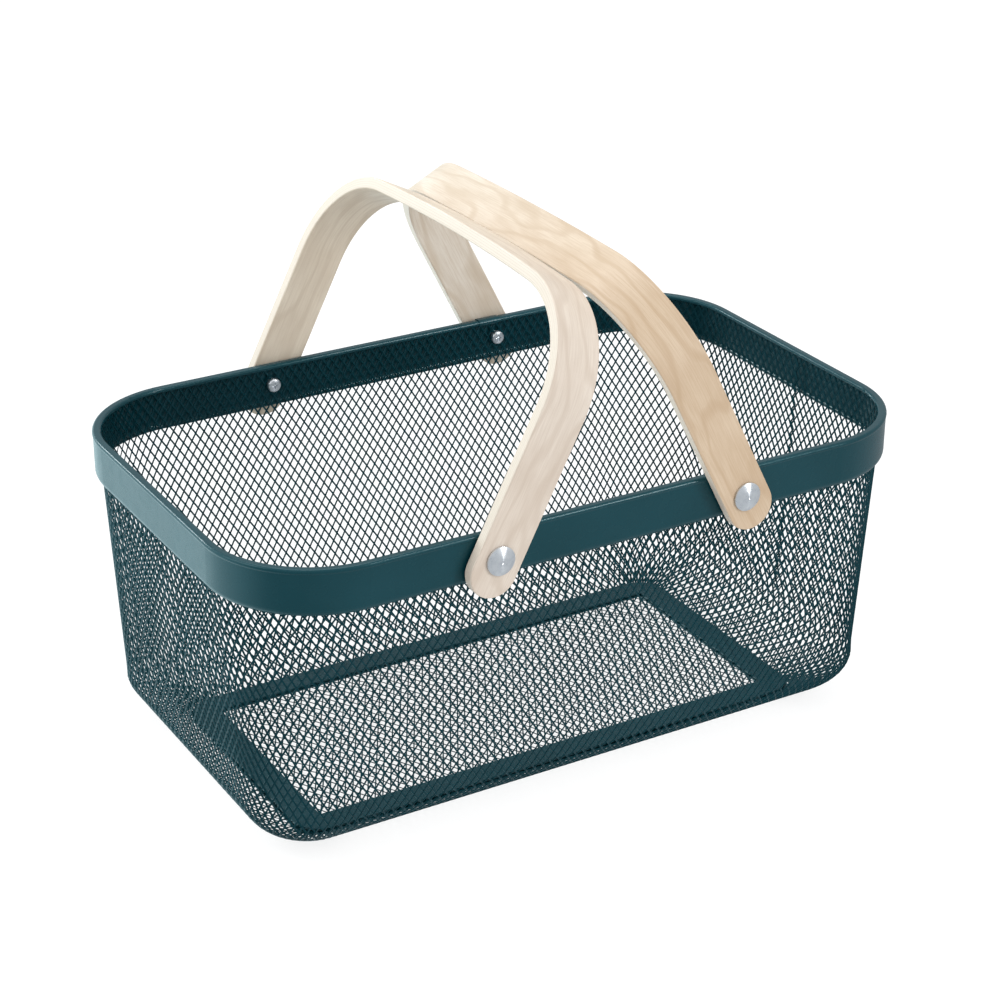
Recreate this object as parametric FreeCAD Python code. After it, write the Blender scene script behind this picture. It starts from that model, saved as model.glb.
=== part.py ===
import FreeCAD, Part
import math
import os

# Wire produce basket: an expanded-metal tub in a painted steel rim, standing on a strip
# frame, with two bent-plywood bail handles that fold down around its short ends.
# Millimetres, +Z up, +X along the long side, origin under the centre of the base.

# ---- rim -------------------------------------------------------------------------------
RIM_LENGTH = 382.0          # over the hem, long side
RIM_WIDTH = 240.0           # over the hem, short side
RIM_CORNER = 57.0           # outer corner radius, over the hem
RIM_TOP = 169.8             # height of the top of the hem
RIM_BOTTOM = 144.9          # height of the curled lower edge of the band
HEM_HEIGHT = 3.0            # flattened roll along the top, turned inwards
HEM_WIDTH = 4.8
HEM_OPENING = 1.0           # between the end of the roll and the band
BAND_INSET = 0.3            # band face behind the outermost line of the hem
BAND_SHEET = 0.9            # sheet thickness of the band
CURL_RADIUS = 4.0           # lower edge, curled inwards against the mesh
CURL_SWEEP = 58.0           # degrees of that curl

# ---- lap clip over the joint of the rolled rim -------------------------------------------
CLIP_START = 58.0           # along the back side
CLIP_LENGTH = 13.0
CLIP_SHEET = 0.5
CLIP_TUCK = 1.3             # how far it reaches back under the hem

# ---- tub ---------------------------------------------------------------------------------
MESH_THICKNESS = 0.8
TUB_TOP = 166.6             # the mesh edge stands just under the hem
TUB_TOP_INSET = (2.55, 2.2)
TUB_TOP_CORNER = 54.9
TUB_BAND_INSET = (3.6, 3.2)      # at the lower edge of the band
TUB_BAND_CORNER = 54.0
# The long sides bulge a little below the band: (share of the way down to the knee, bulge).
WALL_BOWS = ((0.12, 1.9), (0.25, 3.3), (0.42, 4.0), (0.62, 3.5), (0.82, 1.9))
END_BOW_SHARE = 0.35        # the ends bulge by this much of that
KNEE_HEIGHT = 30.7          # where the straight wall turns into the rounded bottom
KNEE_HALF = (181.0, 104.3)
KNEE_CORNER = 37.8
FLOOR_EDGE_HALF = (150.8, 74.8)  # where the rounded bottom meets the base frame
FLOOR_EDGE_CORNER = 16.0
BOTTOM_HALF_AXIS = 63.6     # of the bottom rounding, along X
CORNER_SQUARING = 0.5       # below 1 the bottom's corners turn square sooner
BOTTOM_STEPS = 7
SEAM_HALF_WIDTH = 2.6       # doubled mesh where the wall sheet overlaps itself
SEAM_Y = -10.0
CORNER_DIVIDE = 74.0        # the wall's sides and ends meet where |x| - |y| is this much

# ---- base ----------------------------------------------------------------------------------
STRIP_THICKNESS = 1.0
LOWER_STRIP_OUTER = (301.0, 149.0)
UPPER_STRIP_OUTER = (299.4, 147.4)   # stands inside the wall mesh as that curves upwards
STRIP_INNER = (270.0, 120.4)
STRIP_CORNER = 15.2
FLANGE_WIDTH = 7.0          # how far the wall mesh reaches between the two strips
FLANGE_CLEARANCE = 0.4      # between the wall mesh's flange and the floor mesh
PRESSED_HALF = (122.0, 48.5)     # raised panel pressed in the floor mesh
PRESSED_CORNER = 20.0
PRESSED_RISE = 1.2
PRESSED_SLOPE = 2.0

# ---- handles ---------------------------------------------------------------------------------
PIVOT_X = 70.0              # either side of the middle
PIVOT_Z = 158.0
LEAN = 26.88                # each handle leans this far inwards and meets the other
PLY_WIDTH = 25.5
PLY_THICKNESS = 6.2
LEG_OUTER_Y = 127.1
LEG_STRAIGHT = 74.0         # above the pivot
SHOULDER_RADIUS = 54.0      # outer face
SHOULDER_TURN = 87.0        # degrees, the rest is the slight arch of the grip
LEG_END_CENTRE = 6.9        # centre of the rounded leg end, below the pivot
EDGE_ROUND = 0.8

# ---- pivot hardware ----------------------------------------------------------------------------
BARREL_RADIUS = 3.0
LEG_BORE_CLEARANCE = 0.06   # running fit of the leg on the barrel
BARREL_INNER_Y = 116.3      # the barrel ends where the screw's head seats
DOME_RADIUS = 7.4
DOME_HEIGHT = 2.4
DOME_RIM = 0.9              # upright edge of the dome
DOME_GAP = 0.2
DIMPLE_RADIUS = 0.9
DIMPLE_DEPTH = 0.35
WASHER_RADIUS = 6.0
WASHER_THICKNESS = 0.9
SCREW_RADIUS = 1.95
SCREW_LENGTH = 8.6
SCREW_HEAD_RADIUS = 3.8
SCREW_HEAD_HEIGHT = 2.3
SCREW_HEAD_ROUND = 1.0
RECESS_SPAN = 3.6           # cross recess, tip to tip
RECESS_WIDTH = 0.9
RECESS_DEPTH = 1.3

BAND_FACE_Y = RIM_WIDTH / 2.0 - BAND_INSET
CUT_MARGIN = 2.0            # how far cutting tools run past what they cut
SAME_PLACE = 1e-4
UP = FreeCAD.Vector(0.0, 0.0, 1.0)
ORIGIN = FreeCAD.Vector(0.0, 0.0, 0.0)


def bowed_side(start, end, bow):
    """A straight edge, or a shallow arc standing `bow` outwards at its middle."""
    if bow < SAME_PLACE:
        return Part.makeLine(start, end)
    middle = (start + end) * 0.5
    outward = (end - start).cross(UP).normalize()
    return Part.Arc(start, middle + outward * bow, end).toShape()


def rounded_rectangle(half_x, half_y, radius, z, bow=0.0):
    """A closed wire round a rectangle with rounded corners, starting on its +X side."""
    edges = []
    corners = [(1, -1, -90.0), (1, 1, 0.0), (-1, 1, 90.0), (-1, -1, 180.0)]
    arcs = []
    for sign_x, sign_y, start in corners:
        centre = FreeCAD.Vector(sign_x * (half_x - radius), sign_y * (half_y - radius), z)
        arcs.append(Part.makeCircle(radius, centre, UP, start, start + 90.0))
    for index, arc in enumerate(arcs):
        following = arcs[(index + 1) % len(arcs)]
        on_long_side = index % 2 == 1
        side_bow = bow if on_long_side else bow * END_BOW_SHARE
        edges.append(arc)
        edges.append(bowed_side(arc.lastVertex().Point, following.firstVertex().Point, side_bow))
    return Part.Wire(Part.__sortEdges__(edges))


def slab(half_x, half_y, radius, low, high):
    """An upright prism on a rounded rectangle."""
    face = Part.Face(rounded_rectangle(half_x, half_y, radius, low))
    return face.extrude(UP * (high - low))


def ring_sector(centre_r, centre_z, inner, outer, start, end):
    """A sector of a flat ring in the X-Z plane, angles measured from +X towards +Z."""
    normal = FreeCAD.Vector(0.0, -1.0, 0.0)
    centre = FreeCAD.Vector(centre_r, 0.0, centre_z)
    big = Part.makeCircle(outer, centre, normal, start, end)
    small = Part.makeCircle(inner, centre, normal, start, end)
    sides = [
        Part.makeLine(big.firstVertex().Point, small.firstVertex().Point),
        Part.makeLine(big.lastVertex().Point, small.lastVertex().Point),
    ]
    return Part.Face(Part.Wire(Part.__sortEdges__([big, small] + sides)))


def polygon_face(points):
    """A flat face in the X-Z plane from (distance inwards, height) corners."""
    corners = [FreeCAD.Vector(r, 0.0, z) for r, z in points]
    return Part.Face(Part.makePolygon(corners + corners[:1]))


def sweep_round_rim(profile):
    """Carries a section (x = distance inwards from the rim's outer line) round the rim."""
    half_x = RIM_LENGTH / 2.0
    half_y = RIM_WIDTH / 2.0
    pieces = []
    for quarter in range(4):
        along_x = quarter % 2 == 0
        reach = half_y if along_x else half_x
        run = (half_x if along_x else half_y) - RIM_CORNER
        turn = 90.0 * quarter
        side = profile.copy()
        side.rotate(ORIGIN, UP, 90.0)
        side.translate(FreeCAD.Vector(-run, -reach, 0.0))
        straight = side.extrude(FreeCAD.Vector(2.0 * run, 0.0, 0.0))
        corner = profile.copy()
        corner.rotate(ORIGIN, UP, 90.0)
        corner.translate(FreeCAD.Vector(run, -reach, 0.0))
        axis_point = FreeCAD.Vector(run, -reach + RIM_CORNER, 0.0)
        bend = corner.revolve(axis_point, UP, 90.0)
        for piece in (straight, bend):
            piece.rotate(ORIGIN, UP, turn)
            pieces.append(piece)
    return pieces[0].multiFuse(pieces[1:]).removeSplitter()


def hem_face(grow):
    """The hem's section, round at both ends, grown or shrunk all round."""
    radius = HEM_HEIGHT / 2.0
    level = RIM_TOP - radius
    ends = [radius, HEM_WIDTH - radius]
    reach = radius + grow
    bar = polygon_face([
        (ends[0], level - reach),
        (ends[1], level - reach),
        (ends[1], level + reach),
        (ends[0], level + reach),
    ])
    discs = []
    for r in ends:
        centre = FreeCAD.Vector(r, 0.0, level)
        circle = Part.makeCircle(reach, centre, FreeCAD.Vector(0.0, -1.0, 0.0))
        discs.append(Part.Face(Part.Wire(circle)))
    return bar.fuse(discs).removeSplitter().Faces[0]


def make_rim_band():
    hem_bottom = RIM_TOP - HEM_HEIGHT
    band_inner = BAND_INSET + BAND_SHEET
    slot = polygon_face([
        (band_inner, hem_bottom - BAND_SHEET),
        (band_inner + HEM_OPENING, hem_bottom - BAND_SHEET),
        (band_inner + HEM_OPENING, hem_bottom + BAND_SHEET),
        (band_inner, hem_bottom + BAND_SHEET),
    ])
    hem = hem_face(0.0).cut([hem_face(-BAND_SHEET), slot]).Faces[0]
    curl_centre_z = RIM_BOTTOM + CURL_RADIUS
    band_top = RIM_TOP - HEM_HEIGHT / 2.0
    flat = polygon_face([
        (BAND_INSET, curl_centre_z),
        (band_inner, curl_centre_z),
        (band_inner, band_top),
        (BAND_INSET, band_top),
    ])
    curl = ring_sector(
        BAND_INSET + CURL_RADIUS, curl_centre_z, CURL_RADIUS - BAND_SHEET, CURL_RADIUS,
        180.0, 180.0 + CURL_SWEEP,
    )
    profile = hem.fuse([flat, curl]).removeSplitter()
    rim = sweep_round_rim(profile.Faces[0])
    for side_x in (-1, 1):
        rim = rim.cut(rod_along_y(side_x, -RIM_WIDTH, RIM_WIDTH, BARREL_RADIUS))
    return rim


def make_rim_clip():
    """A short folded clip over the lap joint of the hem, on the back side."""
    tuck = HEM_WIDTH - CLIP_TUCK
    level = RIM_TOP - HEM_HEIGHT / 2.0
    open_side = polygon_face([
        (-HEM_WIDTH, level - HEM_HEIGHT),
        (tuck, level - HEM_HEIGHT),
        (tuck, level),
        (-HEM_WIDTH, level),
    ])
    face = hem_face(CLIP_SHEET).cut([hem_face(0.0), open_side]).Faces[0]
    face.rotate(ORIGIN, UP, -90.0)
    face.translate(FreeCAD.Vector(CLIP_START, RIM_WIDTH / 2.0, 0.0))
    return face.extrude(FreeCAD.Vector(CLIP_LENGTH, 0.0, 0.0))


def tub_sections():
    """Sections (half x, half y, corner, z, bow) of the wall's outer surface, from the top down."""
    half = (RIM_LENGTH / 2.0, RIM_WIDTH / 2.0)
    band = (half[0] - TUB_BAND_INSET[0], half[1] - TUB_BAND_INSET[1], TUB_BAND_CORNER, RIM_BOTTOM)
    knee = (KNEE_HALF[0], KNEE_HALF[1], KNEE_CORNER, KNEE_HEIGHT)
    sections = [
        (half[0] - TUB_TOP_INSET[0], half[1] - TUB_TOP_INSET[1], TUB_TOP_CORNER, TUB_TOP, 0.0),
        (*band, 0.0),
    ]
    for share, bow in WALL_BOWS:
        section = [above + (below - above) * share for above, below in zip(band, knee)]
        sections.append((*section, bow))
    sections.append((*knee, 0.0))
    reach_x = (KNEE_HALF[0] - FLOOR_EDGE_HALF[0]) / BOTTOM_HALF_AXIS
    last = math.acos(1.0 - reach_x)
    drop = KNEE_HEIGHT - STRIP_THICKNESS
    for step in range(1, BOTTOM_STEPS + 1):
        share = step / BOTTOM_STEPS
        angle = last * share
        travel = (1.0 - math.cos(angle)) / reach_x
        fall = math.sin(angle) / math.sin(last)
        sections.append((
            KNEE_HALF[0] + (FLOOR_EDGE_HALF[0] - KNEE_HALF[0]) * travel,
            KNEE_HALF[1] + (FLOOR_EDGE_HALF[1] - KNEE_HALF[1]) * travel,
            KNEE_CORNER + (FLOOR_EDGE_CORNER - KNEE_CORNER) * travel ** CORNER_SQUARING,
            KNEE_HEIGHT - drop * fall,
            0.0,
        ))
    return sections


def tub_block(inward, rise):
    """The solid inside the mesh wall's outer surface, moved in by `inward` all round."""
    wires = []
    for half_x, half_y, radius, z, bow in tub_sections():
        level = z + rise * (TUB_TOP - z) / TUB_TOP
        wires.append(rounded_rectangle(half_x - inward, half_y - inward, radius - inward, level, bow))
    return Part.makeLoft(wires, True, True)


def make_wall_sheet():
    """The drawn mesh wall: an open shell with its lower edge turned in under the strip."""
    outer = tub_block(0.0, 0.0)
    wall = outer.cut(tub_block(MESH_THICKNESS, MESH_THICKNESS))
    seam_box = Part.makeBox(
        RIM_LENGTH, 2.0 * SEAM_HALF_WIDTH, RIM_BOTTOM - KNEE_HEIGHT,
        FreeCAD.Vector(0.0, SEAM_Y - SEAM_HALF_WIDTH, KNEE_HEIGHT),
    )
    doubled = outer.cut(tub_block(2.0 * MESH_THICKNESS, 2.0 * MESH_THICKNESS))
    wall = wall.fuse(doubled.common(seam_box))
    low = STRIP_THICKNESS
    flange = slab(
        FLOOR_EDGE_HALF[0], FLOOR_EDGE_HALF[1], FLOOR_EDGE_CORNER, low, low + MESH_THICKNESS,
    )
    opening = slab(
        FLOOR_EDGE_HALF[0] - FLANGE_WIDTH, FLOOR_EDGE_HALF[1] - FLANGE_WIDTH,
        FLOOR_EDGE_CORNER - FLANGE_WIDTH, low - CUT_MARGIN, KNEE_HEIGHT,
    )
    wall = wall.fuse(flange).cut(opening)
    for side_x in (-1, 1):
        wall = wall.cut(rod_along_y(side_x, -RIM_WIDTH, RIM_WIDTH, BARREL_RADIUS))
    return wall.removeSplitter()


def make_wall_meshes():
    """The wall sheet as four pieces, two long sides and two ends, divided at its corners."""
    sheet = make_wall_sheet()
    meshes = {}
    between = sheet
    for end, side_x in (("left", -1), ("right", 1)):
        corners = [
            FreeCAD.Vector(side_x * CORNER_DIVIDE, 0.0, -CUT_MARGIN),
            FreeCAD.Vector(side_x * (CORNER_DIVIDE + RIM_WIDTH), -RIM_WIDTH, -CUT_MARGIN),
            FreeCAD.Vector(side_x * (CORNER_DIVIDE + RIM_WIDTH), RIM_WIDTH, -CUT_MARGIN),
        ]
        wedge = Part.Face(Part.makePolygon(corners + corners[:1]))
        wedge = wedge.extrude(UP * (RIM_TOP + 2.0 * CUT_MARGIN))
        meshes["wall_mesh_" + end + "_end"] = sheet.common(wedge)
        between = between.cut(wedge)
    for side in between.Solids:
        name = "back" if side.CenterOfMass.y > 0.0 else "front"
        meshes["wall_mesh_" + name] = side
    return meshes


def make_floor_mesh():
    """The flat floor panel, with a low raised field pressed in its middle."""
    reach = FLANGE_WIDTH + FLANGE_CLEARANCE
    low = STRIP_THICKNESS
    high = STRIP_THICKNESS + MESH_THICKNESS
    panel = slab(
        FLOOR_EDGE_HALF[0] - reach, FLOOR_EDGE_HALF[1] - reach, FLOOR_EDGE_CORNER - reach, low, high,
    )

    def field(level, shrink):
        foot = rounded_rectangle(
            PRESSED_HALF[0] - shrink, PRESSED_HALF[1] - shrink, PRESSED_CORNER - shrink, level,
        )
        top_shrink = shrink + PRESSED_SLOPE
        top = rounded_rectangle(
            PRESSED_HALF[0] - top_shrink, PRESSED_HALF[1] - top_shrink,
            PRESSED_CORNER - top_shrink, level + PRESSED_RISE,
        )
        return Part.makeLoft([foot, top], True, True)

    return panel.fuse(field(high, 0.0)).cut(field(low, 0.0)).removeSplitter()


def make_strip_frame(size, level):
    """One flat strip frame with rounded outer corners and a square-cornered opening."""
    outer = slab(size[0] / 2.0, size[1] / 2.0, STRIP_CORNER, level, level + STRIP_THICKNESS)
    opening = Part.makeBox(
        STRIP_INNER[0], STRIP_INNER[1], 3.0 * STRIP_THICKNESS,
        FreeCAD.Vector(-STRIP_INNER[0] / 2.0, -STRIP_INNER[1] / 2.0, level - STRIP_THICKNESS),
    )
    return outer.cut(opening)


def rod_along_y(side_x, low_y, high_y, radius):
    """A cylinder on the pivot axis of one handle."""
    start = FreeCAD.Vector(side_x * PIVOT_X, low_y, PIVOT_Z)
    return Part.makeCylinder(radius, high_y - low_y, start, FreeCAD.Vector(0.0, 1.0, 0.0))


def handle_outline(offset):
    """Edges of the upright bail in the Y-Z plane, `offset` inside its outer face."""
    turn = math.radians(SHOULDER_TURN)
    half_grip = LEG_OUTER_Y - SHOULDER_RADIUS * (1.0 - math.cos(turn))
    grip_radius = half_grip / math.cos(turn)
    shoulder_top = LEG_STRAIGHT + SHOULDER_RADIUS * math.sin(turn)
    grip_centre_z = shoulder_top - grip_radius * math.sin(turn)
    radius = SHOULDER_RADIUS - offset
    foot_z = -LEG_END_CENTRE - PLY_WIDTH / 2.0

    def on_shoulder(angle, side):
        return FreeCAD.Vector(
            0.0,
            side * (LEG_OUTER_Y - SHOULDER_RADIUS + radius * math.cos(angle)),
            LEG_STRAIGHT + radius * math.sin(angle),
        )

    edges = []
    for side in (-1, 1):
        foot = FreeCAD.Vector(0.0, side * (LEG_OUTER_Y - offset), foot_z)
        edges.append(Part.makeLine(foot, on_shoulder(0.0, side)))
        edges.append(Part.Arc(
            on_shoulder(0.0, side), on_shoulder(turn / 2.0, side), on_shoulder(turn, side),
        ).toShape())
    crown = FreeCAD.Vector(0.0, 0.0, grip_centre_z + grip_radius - offset)
    edges.append(Part.Arc(on_shoulder(turn, -1), crown, on_shoulder(turn, 1)).toShape())
    feet = [FreeCAD.Vector(0.0, side * (LEG_OUTER_Y - offset), foot_z) for side in (-1, 1)]
    return edges, feet


def make_handle(side_x):
    """A bent-plywood bail with rounded leg ends, leaning towards the middle."""
    outer_edges, outer_feet = handle_outline(0.0)
    inner_edges, inner_feet = handle_outline(PLY_THICKNESS)
    caps = [Part.makeLine(a, b) for a, b in zip(outer_feet, inner_feet)]
    wire = Part.Wire(Part.__sortEdges__(outer_edges + inner_edges + caps))
    half = PLY_WIDTH / 2.0
    bail = Part.Face(wire).extrude(FreeCAD.Vector(PLY_WIDTH, 0.0, 0.0))
    bail.translate(FreeCAD.Vector(-half, 0.0, 0.0))

    top = LEG_STRAIGHT + SHOULDER_RADIUS + PLY_WIDTH
    silhouette = Part.Wire([
        Part.makeLine(FreeCAD.Vector(half, 0.0, -LEG_END_CENTRE), FreeCAD.Vector(half, 0.0, top)),
        Part.makeLine(FreeCAD.Vector(half, 0.0, top), FreeCAD.Vector(-half, 0.0, top)),
        Part.makeLine(FreeCAD.Vector(-half, 0.0, top), FreeCAD.Vector(-half, 0.0, -LEG_END_CENTRE)),
        Part.Arc(
            FreeCAD.Vector(-half, 0.0, -LEG_END_CENTRE),
            FreeCAD.Vector(0.0, 0.0, -LEG_END_CENTRE - half),
            FreeCAD.Vector(half, 0.0, -LEG_END_CENTRE),
        ).toShape(),
    ])
    mask = Part.Face(silhouette)
    mask.translate(FreeCAD.Vector(0.0, -RIM_WIDTH, 0.0))
    bail = bail.common(mask.extrude(FreeCAD.Vector(0.0, 2.0 * RIM_WIDTH, 0.0)))
    bail = soften_long_edges(bail, half)
    bail.rotate(ORIGIN, FreeCAD.Vector(0.0, 1.0, 0.0), -side_x * LEAN)
    bail.translate(FreeCAD.Vector(side_x * PIVOT_X, 0.0, PIVOT_Z))
    bore = rod_along_y(side_x, -RIM_WIDTH, RIM_WIDTH, BARREL_RADIUS + LEG_BORE_CLEARANCE)
    return bail.cut(bore)


def soften_long_edges(bail, half):
    """Rounds the edges where the bail's broad faces meet its ply edges."""
    edges = []
    for edge in bail.Edges:
        box = edge.BoundBox
        on_side = abs(abs(box.XMin) - half) < SAME_PLACE and box.XLength < SAME_PLACE
        if on_side and edge.Length > PLY_THICKNESS + SAME_PLACE:
            edges.append(edge)
    return bail.makeFillet(EDGE_ROUND, edges)


def facing(side_y, shape):
    """Turns hardware built on the back side round to the front side."""
    if side_y > 0:
        return shape
    return shape.mirror(ORIGIN, FreeCAD.Vector(0.0, 1.0, 0.0))


def make_washer(side_x, side_y):
    far = BAND_FACE_Y + WASHER_THICKNESS
    ring = rod_along_y(side_x, BAND_FACE_Y, far, WASHER_RADIUS)
    hole = rod_along_y(side_x, BAND_FACE_Y - CUT_MARGIN, far + CUT_MARGIN, BARREL_RADIUS)
    return facing(side_y, ring.cut(hole))


def make_dome_post(side_x, side_y):
    """The domed head outside the leg, in one piece with the barrel the leg turns on."""
    seat = LEG_OUTER_Y + DOME_GAP
    crown = seat + DOME_HEIGHT
    cap = DOME_HEIGHT - DOME_RIM
    sphere_radius = (DOME_RADIUS ** 2 + cap ** 2) / (2.0 * cap)

    def sphere_point(radius):
        y = crown - sphere_radius + math.sqrt(sphere_radius ** 2 - radius ** 2)
        return FreeCAD.Vector(radius, y, 0.0)

    edge = sphere_point(DOME_RADIUS)
    lip = sphere_point(DIMPLE_RADIUS)
    dimple = FreeCAD.Vector(0.0, crown - DIMPLE_DEPTH, 0.0)
    foot = FreeCAD.Vector(DOME_RADIUS, seat, 0.0)
    hub = FreeCAD.Vector(0.0, seat, 0.0)
    arc = Part.Arc(edge, sphere_point((DOME_RADIUS + DIMPLE_RADIUS) / 2.0), lip).toShape()
    lines = [Part.makeLine(*ends) for ends in ((lip, dimple), (dimple, hub), (hub, foot), (foot, edge))]
    section = Part.Face(Part.Wire(Part.__sortEdges__([arc] + lines)))
    head = section.revolve(ORIGIN, FreeCAD.Vector(0.0, 1.0, 0.0), 360.0)
    head.translate(FreeCAD.Vector(side_x * PIVOT_X, 0.0, PIVOT_Z))
    post = head.fuse(rod_along_y(side_x, BARREL_INNER_Y, seat, BARREL_RADIUS)).removeSplitter()
    thread_end = BARREL_INNER_Y + SCREW_LENGTH
    thread = rod_along_y(side_x, BARREL_INNER_Y - CUT_MARGIN, thread_end, SCREW_RADIUS)
    return facing(side_y, post.cut(thread))


def make_screw(side_x, side_y):
    """A pan-head cross-recess screw driven from inside the basket into the barrel."""
    top = BARREL_INNER_Y - SCREW_HEAD_HEIGHT
    head = rod_along_y(side_x, top, BARREL_INNER_Y, SCREW_HEAD_RADIUS)
    top_edges = [edge for edge in head.Edges if edge.BoundBox.YMax < top + SCREW_HEAD_ROUND]
    head = head.makeFillet(SCREW_HEAD_ROUND, top_edges)
    shank = rod_along_y(side_x, BARREL_INNER_Y, BARREL_INNER_Y + SCREW_LENGTH, SCREW_RADIUS)
    screw = head.fuse(shank).removeSplitter()
    for size_x, size_z in ((RECESS_SPAN, RECESS_WIDTH), (RECESS_WIDTH, RECESS_SPAN)):
        corner = FreeCAD.Vector(
            side_x * PIVOT_X - size_x / 2.0, top - CUT_MARGIN, PIVOT_Z - size_z / 2.0,
        )
        screw = screw.cut(Part.makeBox(size_x, RECESS_DEPTH + CUT_MARGIN, size_z, corner))
    return facing(side_y, screw)


def build_nodes():
    nodes = {
        "rim_band": make_rim_band(),
        "rim_lap_clip": make_rim_clip(),
        "floor_mesh": make_floor_mesh(),
        "base_strip_frame_lower": make_strip_frame(LOWER_STRIP_OUTER, 0.0),
        "base_strip_frame_upper": make_strip_frame(
            UPPER_STRIP_OUTER, STRIP_THICKNESS + MESH_THICKNESS,
        ),
    }
    nodes.update(make_wall_meshes())
    for end, side_x in (("left", -1), ("right", 1)):
        nodes["handle_" + end] = make_handle(side_x)
        for face, side_y in (("front", -1), ("back", 1)):
            place = face + "_" + end
            nodes["pivot_dome_post_" + place] = make_dome_post(side_x, side_y)
            nodes["pivot_spacer_washer_" + place] = make_washer(side_x, side_y)
            nodes["pivot_screw_" + place] = make_screw(side_x, side_y)
    return nodes


os.makedirs("parts", exist_ok=True)
for node_name, node_shape in build_nodes().items():
    solid = node_shape.Solids[0]
    solid.exportStep("parts/" + node_name + ".step")
    print(node_name, len(node_shape.Solids), solid.isValid(), round(solid.Volume, 1))
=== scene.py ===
import math

import bpy
import numpy as np
from mathutils import Matrix, Vector


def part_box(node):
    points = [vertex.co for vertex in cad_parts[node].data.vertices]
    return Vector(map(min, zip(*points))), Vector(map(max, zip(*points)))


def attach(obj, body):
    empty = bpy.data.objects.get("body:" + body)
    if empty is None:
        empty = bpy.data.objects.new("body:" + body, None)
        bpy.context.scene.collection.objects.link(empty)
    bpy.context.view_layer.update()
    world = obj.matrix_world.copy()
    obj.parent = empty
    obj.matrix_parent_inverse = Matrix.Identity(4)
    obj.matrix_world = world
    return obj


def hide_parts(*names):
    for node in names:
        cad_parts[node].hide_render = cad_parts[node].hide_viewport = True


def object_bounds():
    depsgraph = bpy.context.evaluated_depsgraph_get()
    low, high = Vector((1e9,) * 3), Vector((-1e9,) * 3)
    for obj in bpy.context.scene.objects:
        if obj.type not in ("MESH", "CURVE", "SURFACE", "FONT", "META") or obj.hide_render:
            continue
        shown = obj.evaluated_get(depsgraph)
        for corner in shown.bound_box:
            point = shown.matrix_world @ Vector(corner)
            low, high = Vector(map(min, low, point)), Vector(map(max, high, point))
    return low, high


# Wire produce basket: expanded-metal tub, painted steel rim and strip frame, two plywood
# bail handles. Lengths are worked in millimetres and turned to metres when a mesh is made.

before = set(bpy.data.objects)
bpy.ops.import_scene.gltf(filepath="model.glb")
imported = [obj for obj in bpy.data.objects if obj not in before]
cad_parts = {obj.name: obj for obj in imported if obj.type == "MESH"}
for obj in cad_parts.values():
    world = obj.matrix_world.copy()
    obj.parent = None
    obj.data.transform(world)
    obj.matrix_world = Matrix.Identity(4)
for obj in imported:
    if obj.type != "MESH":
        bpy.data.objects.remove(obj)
cad_low, cad_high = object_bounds()
MM = 0.001

# ---- tub surface, as in the CAD model -----------------------------------------------------
SHEET = 0.8
KNEE = (181.0, 104.3, 37.8, 30.7)           # half length, half width, corner radius, height
FLOOR_EDGE = (150.8, 74.8, 16.0, 1.0)
BAND_EDGE = (187.4, 116.8, 54.0, 144.9)
TOP_CORNER = 54.9
BOTTOM_HALF_AXIS = 63.6                     # of the bottom rounding, along X
WALL_BOWS = ((0.12, 1.9), (0.25, 3.3), (0.42, 4.0), (0.62, 3.5), (0.82, 1.9))
END_BOW_SHARE = 0.35                        # the ends bulge less than the long sides
FLANGE_REACH = 3.0                          # mesh kept under the base strip
FLANGE_ROWS = (1.0, 4.0)                    # level sections this far inside the floor's edge
BOTTOM_STEPS = 28
CORNER_SQUARING = 0.5
DIRECTION_STEPS = (0.05, 0.1)               # columns round and millimetres down, to find directions

# ---- expanded metal -----------------------------------------------------------------------
COLUMNS = 224                               # diamonds round the tub
SIDE_COLUMNS = 27.0                         # from the middle of a long side to its corner
END_COLUMNS = 12.0                          # from the middle of an end to its corner
SIDE_WIDTH, END_WIDTH = 4.975, 5.2          # diamond widths there, the same all the way down
COLUMN_BLEND = 1.6                          # how gently the corners' narrower diamonds start
DIAMOND = (4.98, 7.70)                      # width and height where the sheet is unstretched
LEAST_HALF_HEIGHT = 2.0                     # of a diamond stretched wide
SMOOTHING_PASSES = 6                        # along each row of diamonds
STRAND_WIDTH = 0.86
STRAND_THICKNESS = 0.44
STRAND_TILT = math.radians(22.0)
FLOOR_STRAND = (0.66, 0.38)                 # width and thickness
STRAND_OVERRUN = 0.22
FLOOR_DIAMOND = (4.4, 7.9)
FLOOR_OVERLAP = 1.0                         # the floor mesh runs on under the strip by this much
PRESSED_HALF = (122.0, 48.5)                # slightly raised field pressed in the floor
PRESSED_CORNER = 20.0
PRESSED_RISE = 1.2
PRESSED_SLOPE = 2.0
SEAM_WIDTH = 4.4                            # lap of the sheet on the right end
SEAM_Y = -10.0
SEAM_SHIFT = (0.37, 1.3)                    # columns and slant between the two layers
SEAM_GAP = 0.6
CORNER_DIVIDE = 74.0

# ---- handles --------------------------------------------------------------------------------
PIVOT = (70.0, 158.0)
LEAN = math.radians(26.88)
LEG_FACE = 127.1
LEG_STRAIGHT = 74.0
SHOULDER_RADIUS = 54.0
SHOULDER_TURN = math.radians(87.0)
PAINTED_LIGHT_ENDS = (120.0, 80.0)                  # before and behind the crown; the faces grow paler between, painted light and shade
PLY_THICKNESS = 6.2
PLIES = 5
EDGE_DEPTHS = (2.55, 2.85)                  # from the middle ply; the edge's look ends between these
SHEET_SHIFT = 60.0                          # of the grain across, so each handle has its own


# ---- small mesh helpers -----------------------------------------------------------------------
def basket_piece(name, verts_mm, faces, material):
    """A mesh piece from millimetre vertices, riding on the basket."""
    data = bpy.data.meshes.new(name)
    data.from_pydata((np.asarray(verts_mm, float) * MM).tolist(), [], faces)
    data.update()
    piece = bpy.data.objects.new(name, data)
    bpy.context.scene.collection.objects.link(piece)
    data.materials.append(material)
    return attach(piece, "basket")


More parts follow.
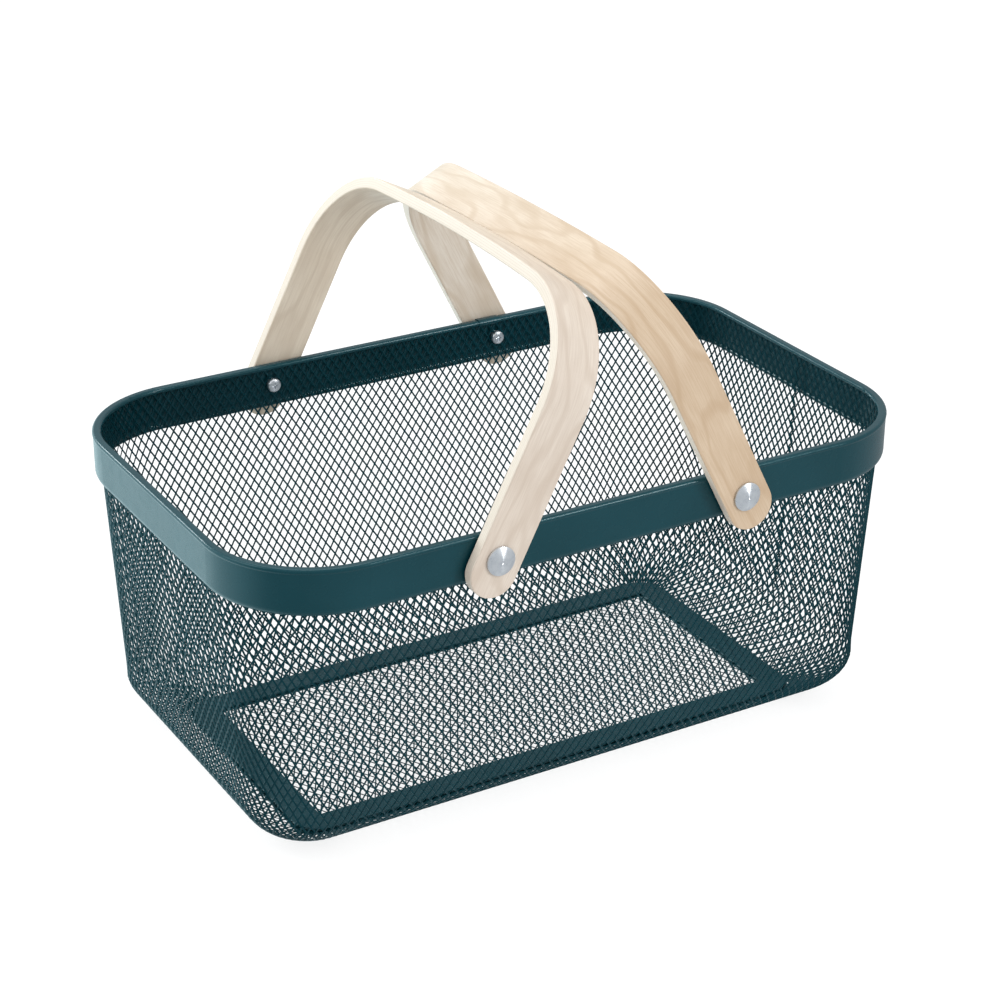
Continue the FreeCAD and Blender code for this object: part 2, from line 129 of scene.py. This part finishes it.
def unit(vectors):
    return vectors / np.maximum(np.linalg.norm(vectors, axis=-1, keepdims=True), 1e-9)


# ---- materials ----------------------------------------------------------------------------------
class Shader:
    """Builds one node material step by step."""

    def __init__(self, name):
        self.material = bpy.data.materials.new(name)
        self.material.use_nodes = True
        self.tree = self.material.node_tree
        self.tree.nodes.clear()
        self.out = self.tree.nodes.new("ShaderNodeOutputMaterial")
        self.bsdf = self.tree.nodes.new("ShaderNodeBsdfPrincipled")
        self.tree.links.new(self.bsdf.outputs["BSDF"], self.out.inputs["Surface"])

    def node(self, kind, settings=None, **inputs):
        """A new node; inputs are given by name, or as i0, i1 ... by their place."""
        made = self.tree.nodes.new("ShaderNode" + kind)
        for key, value in (settings or {}).items():
            setattr(made, key, value)
        for key, value in inputs.items():
            numbered = key[0] == "i" and key[1:].isdigit()
            self.feed(made.inputs[int(key[1:]) if numbered else key], value)
        return made

    def feed(self, socket, value):
        if isinstance(value, bpy.types.NodeSocket):
            self.tree.links.new(value, socket)
        elif isinstance(value, bpy.types.Node):
            self.tree.links.new(value.outputs[0], socket)
        else:
            socket.default_value = value

    def math(self, operation, a, b=0.0, c=0.0):
        return self.node("Math", {"operation": operation}, i0=a, i1=b, i2=c)

    def noise(self, vector, scale, detail=2.0, roughness=0.5):
        return self.node("TexNoise", Vector=vector, Scale=scale, Detail=detail, Roughness=roughness)

    def ramp(self, value, low, high, to_low=0.0, to_high=1.0):
        made = self.node("MapRange", Value=value)
        limits = {"From Min": low, "From Max": high, "To Min": to_low, "To Max": to_high}
        for key, number in limits.items():
            made.inputs[key].default_value = number
        return made

    def mix(self, share, a, b, blend="MIX"):
        made = self.node("Mix", {"data_type": "RGBA", "blend_type": blend})
        self.feed(made.inputs["Factor"], share)
        self.feed(made.inputs[6], a)
        self.feed(made.inputs[7], b)
        return made.outputs[2]

    def bump(self, height, strength, distance):
        return self.node("Bump", Height=height, Strength=strength, Distance=distance)

    def surface(self, **values):
        for key, value in values.items():
            self.feed(self.bsdf.inputs[key.replace("_", " ")], value)
        return self.material


SHEEN_TINT = (0.52, 0.92, 1.0, 1.0)         # the paint's reflections are slightly teal


def painted(name, colour, light_colour, roughness, peel, specular, coat):
    """Satin powder coat: slight colour drift, fine orange peel, a thin glossy skin."""
    s = Shader(name)
    place = s.node("TexCoord").outputs["Object"]
    drift = s.noise(place, 22.0, 3.0)
    peel_height = s.noise(place, 900.0, 2.0)
    colour = s.mix(s.ramp(drift, 0.35, 0.65), colour, light_colour)
    rough = s.ramp(s.noise(place, 160.0, 3.0), 0.3, 0.7, roughness - 0.04, roughness + 0.05)
    return s.surface(
        Base_Color=colour, Roughness=rough, Specular_IOR_Level=specular, Specular_Tint=SHEEN_TINT,
        Coat_Weight=coat, Coat_Roughness=0.08, Coat_IOR=1.5,
        Normal=s.bump(peel_height, peel, 0.00012),
    )


def zinc(name):
    """Bright zinc plate with the lathe's rings round each pivot axis."""
    s = Shader(name)
    parts = s.node("SeparateXYZ", Vector=s.node("TexCoord").outputs["Object"])
    from_axis = s.math("SUBTRACT", s.math("ABSOLUTE", parts.outputs["X"]), PIVOT[0] * MM)
    from_height = s.math("SUBTRACT", parts.outputs["Z"], PIVOT[1] * MM)
    squares = [s.math("POWER", distance, 2.0) for distance in (from_axis, from_height)]
    radius = s.math("SQRT", s.math("ADD", *squares))
    one_way = {"noise_dimensions": "1D"}
    rings = s.node("TexNoise", one_way, Scale=5200.0, Detail=3.0, Roughness=0.6, W=radius)
    blotch = s.noise(s.node("TexCoord").outputs["Object"], 420.0, 3.0)
    tone = s.mix(s.ramp(blotch, 0.35, 0.65), (0.74, 0.78, 0.82, 1.0), (0.86, 0.89, 0.92, 1.0))
    return s.surface(
        Base_Color=s.mix(s.ramp(rings, 0.35, 0.7, 0.0, 0.3), tone, (0.55, 0.59, 0.63, 1.0)),
        Metallic=1.0, Roughness=s.ramp(blotch, 0.3, 0.7, 0.26, 0.36), Anisotropic=0.8,
        Anisotropic_Rotation=0.25, Tangent=s.node("Tangent", {"direction_type": "RADIAL", "axis": "Y"}),
        Normal=s.bump(rings, 0.12, 0.00004),
    )


def plywood(name, left_tones, right_tones, edge_tones, left_drift, right_drift):
    """Birch ply: flat-sawn figure and fine fibre on the faces, plies on the edges.

    The "grain" attribute gives (along, across, depth) in millimetres; the two handles are cut
    from different sheets, told apart by the sign of the distance across. Each handle also gets a
    pair of tints, for its front and its back: painted shade at the front and painted light at the back."""
    s = Shader(name)
    grain = s.node("Attribute", {"attribute_name": "grain"}).outputs["Vector"]
    parts = s.node("SeparateXYZ", Vector=grain)
    along, across, depth = (parts.outputs[axis] for axis in "XYZ")
    sway = s.noise(s.node("Mapping", Vector=grain, Scale=(0.011, 0.030, 0.06)), 1.0, 2.0)
    cloud = s.noise(s.node("Mapping", Vector=grain, Scale=(0.028, 0.07, 0.1)), 1.0, 2.0)
    fibre = s.noise(s.node("Mapping", Vector=grain, Scale=(0.05, 1.7, 1.7)), 1.0, 3.0, 0.65)
    fleck = s.noise(s.node("Mapping", Vector=grain, Scale=(0.35, 3.4, 3.4)), 1.0, 1.0)
    phase = s.math("MULTIPLY_ADD", across, 0.085, s.math("MULTIPLY", sway, 5.5))
    ring = s.math("SINE", s.math("MULTIPLY", phase, 2.0 * math.pi))
    which = s.ramp(across, -SHEET_SHIFT / 2.0, SHEET_SHIFT / 2.0)
    light = s.mix(which, left_tones[0], right_tones[0])
    dark = s.mix(which, left_tones[1], right_tones[1])
    face = s.mix(s.ramp(ring, 0.35, 1.0, 0.0, 0.50), light, dark)
    face = s.mix(s.ramp(cloud, 0.38, 0.68, 0.0, 0.55), face, dark)
    face = s.mix(s.ramp(fibre, 0.42, 0.66, 0.0, 0.50), face, dark)
    face = s.mix(s.ramp(fleck, 0.66, 0.74, 0.0, 0.4), face, dark)
    # painted shade towards the front of each handle and painted light towards the back, tinted per
    # handle
    toward_back = s.ramp(along, -PAINTED_LIGHT_ENDS[0], PAINTED_LIGHT_ENDS[1])
    drift = s.mix(which, s.mix(toward_back, *left_drift), s.mix(toward_back, *right_drift))
    face = s.mix(1.0, face, drift, "MULTIPLY")
    ply = s.math("DIVIDE", depth, PLY_THICKNESS / PLIES)
    glue = s.math("ABSOLUTE", s.math("SUBTRACT", s.math("FRACT", ply), 0.5))
    one_way = {"noise_dimensions": "1D"}
    layer = s.node("TexNoise", one_way, Scale=1.0, Detail=0.0, W=s.math("FLOOR", ply))
    edge = s.mix(s.ramp(layer, 0.3, 0.7, 0.0, 0.6), edge_tones[0], edge_tones[1])
    edge = s.mix(s.ramp(fibre, 0.45, 0.7, 0.0, 0.25), edge, edge_tones[1])
    edge = s.mix(s.ramp(glue, 0.42, 0.5, 0.0, 0.55), edge, edge_tones[2])
    from_middle = s.math("ABSOLUTE", s.math("SUBTRACT", depth, PLY_THICKNESS / 2.0))
    inside = s.ramp(from_middle, *EDGE_DEPTHS, 1.0, 0.0)
    return s.surface(
        Base_Color=s.mix(inside, face, edge),
        Roughness=s.ramp(fibre, 0.3, 0.7, 0.33, 0.46), Specular_IOR_Level=0.45,
        Normal=s.bump(fibre, 0.10, 0.0002),
    )


paint = painted(
    "rim_paint", (0.0024, 0.036, 0.047, 1.0), (0.0036, 0.042, 0.055, 1.0),
    roughness=0.26, peel=0.05, specular=0.28, coat=0.16,
)
mesh_paint = painted(
    "mesh_paint", (0.0016, 0.027, 0.036, 1.0), (0.0026, 0.035, 0.047, 1.0),
    roughness=0.30, peel=0.04, specular=0.16, coat=0.0,
)
zinc_plate = zinc("zinc_plate")
birch = plywood(
    "birch_ply",
    ((0.72, 0.625, 0.51, 1.0), (0.56, 0.455, 0.35, 1.0)),
    ((0.68, 0.57, 0.43, 1.0), (0.51, 0.38, 0.245, 1.0)),
    ((0.76, 0.675, 0.58, 1.0), (0.62, 0.53, 0.43, 1.0), (0.36, 0.27, 0.20, 1.0)),
    # painted light and shade: front and back tints for the left handle, then for the right
    ((0.96, 0.97, 1.02, 1.0), (1.12, 1.14, 1.14, 1.0)),
    ((0.92, 0.86, 0.82, 1.0), (1.11, 1.19, 1.36, 1.0)),
)


# ---- the tub's surface ----------------------------------------------------------------------------
def tub_table():
    """Sections (half x, half y, corner, z, bow) down the wall, with the slant length to each."""
    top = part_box("wall_mesh_back")[1] / MM
    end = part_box("wall_mesh_right_end")[1] / MM
    rows = [(end.x, top.y, TOP_CORNER, top.z, 0.0), (*BAND_EDGE, 0.0)]
    for share, bow in WALL_BOWS:
        rows.append((*[a + (b - a) * share for a, b in zip(BAND_EDGE, KNEE)], bow))
    rows.append((*KNEE, 0.0))
    knee_row = len(rows)
    reach = (KNEE[0] - FLOOR_EDGE[0]) / BOTTOM_HALF_AXIS
    last = math.acos(1.0 - reach)
    for step in range(1, BOTTOM_STEPS + 1):
        angle = last * step / BOTTOM_STEPS
        travel = (1.0 - math.cos(angle)) / reach
        fall = math.sin(angle) / math.sin(last)
        shares = (travel, travel, travel ** CORNER_SQUARING)
        level = [a + (b - a) * share for a, b, share in zip(KNEE, FLOOR_EDGE, shares)]
        rows.append((*level, KNEE[3] + (FLOOR_EDGE[3] - KNEE[3]) * fall, 0.0))
    edge = rows[-1]
    for inward in FLANGE_ROWS:
        rows.append((edge[0] - inward, edge[1] - inward, edge[2] - inward, edge[3], 0.0))
    rows = np.array(rows)
    rows[:, :3] -= SHEET / 2.0
    rows[knee_row:, 3] += SHEET / 2.0 * np.linspace(0.0, 1.0, len(rows) - knee_row)
    steps = np.hypot(np.diff(rows[:, 1]), np.diff(rows[:, 3]))
    return rows, np.concatenate([[0.0], np.cumsum(steps)])


SECTIONS, SLANT = tub_table()
FLOOR_SLANT = SLANT[-1 - len(FLANGE_ROWS)]


def section_at(slant):
    return [np.interp(slant, SLANT, values) for values in SECTIONS.T]


def softplus(x):
    return np.logaddexp(0.0, x)


def quarter_run(column, quarter_length):
    """Length round a quarter section, from mid side to mid end, for a column count.

    The side's and the end's columns keep their width; the corner takes up what is left."""
    m = COLUMN_BLEND
    ends_at = COLUMNS / 4.0 - END_COLUMNS

    def after(c, knee):
        return m * (softplus((c - knee) / m) - softplus(-knee / m))

    whole = COLUMNS / 4.0
    side, end = after(whole, SIDE_COLUMNS), after(whole, ends_at)
    corner_width = (quarter_length - SIDE_WIDTH * (whole - side) - END_WIDTH * end) / (side - end)
    return (
        SIDE_WIDTH * column + (corner_width - SIDE_WIDTH) * after(column, SIDE_COLUMNS)
        + (END_WIDTH - corner_width) * after(column, ends_at)
    )


def tub_point(column, slant):
    """Points of the tub's middle surface. Column 0 is the middle of the +X end, going to +Y."""
    column = np.mod(column, COLUMNS)
    half_x, half_y, corner, z, bow = section_at(slant)
    mirror_x = (column > COLUMNS / 4.0) & (column < COLUMNS * 0.75)
    mirror_y = column > COLUMNS / 2.0
    folded = np.where(mirror_y, COLUMNS - column, column)
    folded = np.where(folded > COLUMNS / 4.0, COLUMNS / 2.0 - folded, folded)
    side, end, arc = half_x - corner, half_y - corner, corner * math.pi / 2.0
    run = quarter_run(COLUMNS / 4.0 - folded, side + arc + end)
    turn = np.clip((run - side) / corner, 0.0, math.pi / 2.0)
    past = np.maximum(run - side - arc, 0.0)
    x = np.minimum(run, side) + corner * np.sin(turn)
    y = end + corner * np.cos(turn) - past
    y = y + bow * np.clip(1.0 - (run / side) ** 2, 0.0, 1.0)
    x = x + bow * END_BOW_SHARE * np.where(past > 0.0, 1.0 - (y / end) ** 2, 0.0)
    x = np.where(mirror_x, -x, x)
    y = np.where(mirror_y, -y, y)
    return np.stack([x, y, z], axis=-1)


def tub_frame(column, slant):
    """Point, outward normal and the direction round the tub."""
    here = tub_point(column, slant)
    nudge, drop = DIRECTION_STEPS
    round_way = unit(tub_point(column + nudge, slant) - tub_point(column - nudge, slant))
    down = unit(tub_point(column, slant + drop) - tub_point(column, slant - drop))
    return here, unit(np.cross(down, round_way)), round_way


# ---- strands -------------------------------------------------------------------------------------
def strand_boxes(start, end, normal, round_way, size=(STRAND_WIDTH, STRAND_THICKNESS)):
    """Tilted flat strands as closed boxes: eight corners each."""
    along = unit(end - start)
    normal = unit(normal - along * (normal * along).sum(-1, keepdims=True))
    across = np.cross(normal, along)
    across *= np.sign((across * round_way).sum(-1, keepdims=True))
    wide = (math.cos(STRAND_TILT) * across - math.sin(STRAND_TILT) * normal) * size[0] / 2.0
    thick = (math.cos(STRAND_TILT) * normal + math.sin(STRAND_TILT) * across) * size[1] / 2.0
    a = start - along * STRAND_OVERRUN
    b = end + along * STRAND_OVERRUN
    ring = [(1, 1), (-1, 1), (-1, -1), (1, -1)]
    corners = [p + wide * i + thick * j for p in (a, b) for i, j in ring]
    return np.stack(corners, axis=1), (wide, thick, along)


BOX_FACES = np.array([
    (0, 1, 2, 3), (7, 6, 5, 4), (0, 4, 5, 1), (1, 5, 6, 2), (2, 6, 7, 3), (3, 7, 4, 0),
])


def box_faces(count, flip):
    faces = BOX_FACES[None, :, :] + 8 * np.arange(count)[:, None, None]
    faces = np.where(flip[:, None, None], faces[:, :, ::-1], faces)
    return faces.reshape(-1, 4).tolist()


def strand_piece(name, corners, axes, material):
    wide, thick, along = axes
    flip = (np.cross(wide, thick) * along).sum(-1) > 0.0
    faces = box_faces(len(corners), flip)
    return basket_piece(name, corners.reshape(-1, 3), faces, material)


def wall_lattice():
    """Slant of every row at every half column; narrower diamonds come out taller."""
    half_columns = np.arange(2 * COLUMNS)
    side = math.hypot(DIAMOND[0] / 2.0, DIAMOND[1] / 2.0)
    slant = np.zeros(2 * COLUMNS)
    rows = [slant]
    while slant.min() < FLOOR_SLANT + FLANGE_REACH:
        here = tub_point(half_columns / 2.0, slant)
        ahead = tub_point(half_columns / 2.0 + 0.5, slant)
        half_width = np.linalg.norm(ahead - here, axis=-1)
        half_width = (half_width + np.roll(half_width, 1)) / 2.0
        slant = slant + np.sqrt(np.maximum(side ** 2 - half_width ** 2, LEAST_HALF_HEIGHT ** 2))
        for _ in range(SMOOTHING_PASSES):
            slant = (np.roll(slant, 1) + 2.0 * slant + np.roll(slant, -1)) / 4.0
        rows.append(slant)
    return np.array(rows)


def wall_strands():
    lattice = wall_lattice()
    rows, width = lattice.shape
    starts, ends = [], []
    for j in range(rows - 1):
        k = np.arange(j % 2, width, 2)
        for step in (-1, 1):
            other = (k + step) % width
            a = np.stack([k / 2.0, lattice[j, k]], axis=-1)
            b = np.stack([(k + step) / 2.0, lattice[j + 1, other]], axis=-1)
            keep = b[:, 1] < FLOOR_SLANT + FLANGE_REACH
            starts.append(a[keep])
            ends.append(b[keep])
    return np.concatenate(starts), np.concatenate(ends)


def build_wall():
    a, b = wall_strands()
    start = tub_point(a[:, 0], a[:, 1])
    end = tub_point(b[:, 0], b[:, 1])
    middle, normal, round_way = tub_frame((a[:, 0] + b[:, 0]) / 2.0, (a[:, 1] + b[:, 1]) / 2.0)
    corners, axes = strand_boxes(start, end, normal, round_way)
    beyond = np.abs(middle[:, 0]) - np.abs(middle[:, 1]) - CORNER_DIVIDE
    groups = {
        "right_end": (beyond > 0) & (middle[:, 0] > 0), "left_end": (beyond > 0) & (middle[:, 0] < 0),
        "back": (beyond <= 0) & (middle[:, 1] > 0), "front": (beyond <= 0) & (middle[:, 1] < 0),
    }
    for name, chosen in groups.items():
        piece = strand_piece(
            "mesh_strands_" + name, corners[chosen], [v[chosen] for v in axes], mesh_paint,
        )
        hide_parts("wall_mesh_" + name)
    build_seam(a, b)


def build_seam(a, b):
    """A second layer of strands where the sheet laps over itself on the right end."""
    a, b = [np.array([SEAM_SHIFT]) + v for v in (a, b)]
    start = tub_point(a[:, 0], a[:, 1])
    end = tub_point(b[:, 0], b[:, 1])
    middle, normal, round_way = tub_frame((a[:, 0] + b[:, 0]) / 2.0, (a[:, 1] + b[:, 1]) / 2.0)
    chosen = (middle[:, 0] > 0) & (np.abs(middle[:, 1] - SEAM_Y) < SEAM_WIDTH / 2.0)
    chosen &= middle[:, 2] > KNEE[3]
    inward = -normal * SEAM_GAP
    corners, axes = strand_boxes(
        (start + inward)[chosen], (end + inward)[chosen], normal[chosen], round_way[chosen],
    )
    strand_piece("mesh_strands_seam", corners, axes, mesh_paint)


def build_floor():
    low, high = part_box("floor_mesh")[0] / MM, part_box("floor_mesh")[1] / MM
    half = (high.x + FLOOR_OVERLAP, high.y + FLOOR_OVERLAP)
    level = low.z + SHEET / 2.0
    count_x = int(half[0] / (FLOOR_DIAMOND[0] / 2.0))
    count_y = int(half[1] / (FLOOR_DIAMOND[1] / 2.0))
    starts, ends = [], []
    for i in range(-count_x, count_x + 1):
        for j in range(-count_y, count_y):
            if (i + j) % 2:
                continue
            for step in (-1, 1):
                if abs(i + step) <= count_x:
                    starts.append((i, j))
                    ends.append((i + step, j + 1))
    scale = np.array(FLOOR_DIAMOND) / 2.0

    def place(grid):
        flat = np.array(grid, float) * scale
        away = rounded_distance(flat, PRESSED_HALF, PRESSED_CORNER)
        rise = PRESSED_RISE * np.clip(-away / PRESSED_SLOPE, 0.0, 1.0)
        return np.column_stack([flat, level + rise])

    start, end = place(starts), place(ends)
    up = np.tile([0.0, 0.0, 1.0], (len(start), 1))
    round_way = np.tile([1.0, 0.0, 0.0], (len(start), 1))
    corners, axes = strand_boxes(start, end, up, round_way, FLOOR_STRAND)
    piece = strand_piece("mesh_strands_floor", corners, axes, mesh_paint)
    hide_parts("floor_mesh")


def rounded_distance(points, half, radius):
    """Signed distance to a rounded rectangle, negative inside."""
    q = np.abs(points) - (np.array(half) - radius)
    outside = np.linalg.norm(np.maximum(q, 0.0), axis=-1)
    return outside + np.minimum(q.max(axis=-1), 0.0) - radius


# ---- handles ----------------------------------------------------------------------------------------
def grain_coordinates(points, side):
    """(distance along the bail, across it, below its outer face), all in millimetres."""
    turn = -side * LEAN
    x = points[:, 0] - side * PIVOT[0]
    z = points[:, 2] - PIVOT[1]
    across = x * math.cos(turn) - z * math.sin(turn)
    height = x * math.sin(turn) + z * math.cos(turn)
    width = np.abs(points[:, 1])
    centre = LEG_FACE - SHOULDER_RADIUS
    half_grip = centre + SHOULDER_RADIUS * math.cos(SHOULDER_TURN)
    grip_radius = half_grip / math.cos(SHOULDER_TURN)
    grip_centre = LEG_STRAIGHT + (SHOULDER_RADIUS - grip_radius) * math.sin(SHOULDER_TURN)
    angle = np.arctan2(height - LEG_STRAIGHT, width - centre)
    from_crown = np.arctan2(width, height - grip_centre)
    shoulder_end = LEG_STRAIGHT + SHOULDER_RADIUS * SHOULDER_TURN
    grip_half_turn = math.pi / 2.0 - SHOULDER_TURN
    on_leg = height <= LEG_STRAIGHT
    on_shoulder = ~on_leg & (angle <= SHOULDER_TURN)
    along = np.select(
        [on_leg, on_shoulder],
        [height, LEG_STRAIGHT + SHOULDER_RADIUS * angle],
        shoulder_end + grip_radius * (grip_half_turn - from_crown),
    )
    depth = np.select(
        [on_leg, on_shoulder],
        [LEG_FACE - width, SHOULDER_RADIUS - np.hypot(width - centre, height - LEG_STRAIGHT)],
        grip_radius - np.hypot(width, height - grip_centre),
    )
    crown = shoulder_end + grip_radius * grip_half_turn
    return np.column_stack([np.sign(points[:, 1]) * (crown - along), across, depth])


def build_handle(end, side):
    node = "handle_" + end
    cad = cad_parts[node]
    data = cad.data.copy()
    data.name = "ply_" + node
    piece = bpy.data.objects.new("ply_" + node, data)
    bpy.context.scene.collection.objects.link(piece)
    points = np.array([v.co for v in data.vertices]) / MM
    grain = grain_coordinates(points, side)
    grain[:, 1] += SHEET_SHIFT * side
    attribute = data.attributes.new("grain", "FLOAT_VECTOR", "POINT")
    attribute.data.foreach_set("vector", grain.astype(np.float32).ravel())
    data.materials.clear()
    data.materials.append(birch)
    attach(piece, end + "_handle")
    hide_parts(node)


def dress(name, material):
    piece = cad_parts[name]
    piece.data.materials.clear()
    piece.data.materials.append(material)


build_wall()
build_floor()
for handle_end, handle_side in (("left", -1), ("right", 1)):
    build_handle(handle_end, handle_side)
for node_name in sorted(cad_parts):
    if node_name.startswith("pivot_"):
        dress(node_name, zinc_plate)
    elif node_name.startswith(("rim_", "base_strip_")):
        dress(node_name, paint)


# ---- studio ---------------------------------------------------------------------------------------
FLOOR_HALF, FLOOR_GAP = 6.0, 0.0003         # half size, and distance below the basket
FLOOR_DIFFUSE, FLOOR_GLOW = 0.25, 0.80
WORLD_LOBES = (                             # direction, cosines where it starts and is full, colour
    ((0.0, 0.0, 1.0), -1.6, -1.5, (0.40, 0.41, 0.42)),
    ((0.0, 0.0, 1.0), -0.1, 0.9, (0.45, 0.45, 0.45)),
    ((-0.6, 0.75, -0.35), 0.35, 0.95, (0.88, 1.25, 1.32)),
    ((0.45, -0.78, -0.42), 0.3, 0.9, (0.19, 0.20, 0.21)),
)
AREA_LIGHTS = {                             # place, size, watts
    "key_left": ((-1.6, 0.3, 1.3), (1.2, 1.2), 10.0),
    "top": ((0.1, 0.6, 2.0), (1.4, 1.4), 13.0),
    "strip_front": ((1.0, -1.68, 1.0), (0.16, 1.7), 17.0),
    "strip_back_left": ((-0.9, 1.71, 0.97), (0.6, 0.3), 9.0),
}
LIGHTS_AIM = (0.0, 0.0, 0.1)


def build_floor_plane():
    data = bpy.data.meshes.new("studio_floor")
    corners = [(x * FLOOR_HALF, y * FLOOR_HALF, 0.0) for x, y in ((-1, -1), (1, -1), (1, 1), (-1, 1))]
    data.from_pydata(corners, [], [(0, 1, 2, 3)])
    plane = bpy.data.objects.new("studio_floor", data)
    bpy.context.scene.collection.objects.link(plane)
    plane.location.z = cad_low.z - FLOOR_GAP
    s = Shader("studio_floor")
    data.materials.append(s.surface(
        Base_Color=(FLOOR_DIFFUSE,) * 3 + (1.0,), Roughness=0.9, Specular_IOR_Level=0.0,
        Emission_Color=(1.0, 1.0, 1.0, 1.0), Emission_Strength=FLOOR_GLOW,
    ))
    plane.visible_glossy = False


def area_light(name, place, aim, size, power):
    lamp = bpy.data.lights.new(name, "AREA")
    lamp.shape = "RECTANGLE"
    lamp.size, lamp.size_y = size
    lamp.energy = power
    holder = bpy.data.objects.new(name, lamp)
    bpy.context.scene.collection.objects.link(holder)
    holder.location = place
    holder.rotation_euler = (Vector(aim) - Vector(place)).to_track_quat("-Z", "Y").to_euler()


def build_world():
    """Soft studio surround: pale above, bright and teal low at the back left, with a little
    more light low at the front right."""
    world = bpy.data.worlds.new("studio")
    world.use_nodes = True
    tree = world.node_tree
    toward = tree.nodes.new("ShaderNodeTexCoord").outputs["Generated"]

    def lobe(direction, low, high, colour):
        dot = tree.nodes.new("ShaderNodeVectorMath")
        dot.operation = "DOT_PRODUCT"
        tree.links.new(toward, dot.inputs[0])
        dot.inputs[1].default_value = Vector(direction).normalized()
        level = tree.nodes.new("ShaderNodeMapRange")
        level.interpolation_type = "SMOOTHSTEP"
        tree.links.new(dot.outputs["Value"], level.inputs["Value"])
        level.inputs["From Min"].default_value = low
        level.inputs["From Max"].default_value = high
        tinted = tree.nodes.new("ShaderNodeVectorMath")
        tinted.operation = "SCALE"
        tinted.inputs[0].default_value = colour
        tree.links.new(level.outputs["Result"], tinted.inputs["Scale"])
        return tinted.outputs["Vector"]

    total = None
    for values in WORLD_LOBES:
        glow = lobe(*values)
        if total is not None:
            add = tree.nodes.new("ShaderNodeVectorMath")
            tree.links.new(total, add.inputs[0])
            tree.links.new(glow, add.inputs[1])
            glow = add.outputs[0]
        total = glow
    tree.links.new(total, tree.nodes["Background"].inputs["Color"])
    bpy.context.scene.world = world


build_floor_plane()
build_world()
for light_name, (light_place, light_size, watts) in AREA_LIGHTS.items():
    area_light(light_name, light_place, LIGHTS_AIM, light_size, watts)


# ---- camera -----------------------------------------------------------------------------------------
AZIMUTH = math.radians(30.408)
ELEVATION = math.radians(25.477)
ROLL = math.radians(0.193)
DISTANCE = 1.185675
AIM = Vector((-0.049927, -0.092356, 0.170123))
FOCAL_LENGTH = 89.38
camera_data = bpy.data.cameras.new("camera")
camera_data.sensor_width = 36.0
camera_data.lens = FOCAL_LENGTH
camera = bpy.data.objects.new("camera", camera_data)
bpy.context.scene.collection.objects.link(camera)
level_look = Vector((math.sin(AZIMUTH), math.cos(AZIMUTH), 0.0))
look = level_look * math.cos(ELEVATION) - Vector((0.0, 0.0, math.sin(ELEVATION)))
right = Vector((math.cos(AZIMUTH), -math.sin(AZIMUTH), 0.0))
up = right.cross(look)
rolled_right = right * math.cos(ROLL) + up * math.sin(ROLL)
rolled_up = rolled_right.cross(look)
turn = Matrix((rolled_right, rolled_up, -look)).transposed()
camera.matrix_world = Matrix.Translation(AIM - look * DISTANCE) @ turn.to_4x4()
bpy.context.scene.camera = camera
bpy.context.scene.view_settings.view_transform = "Standard"
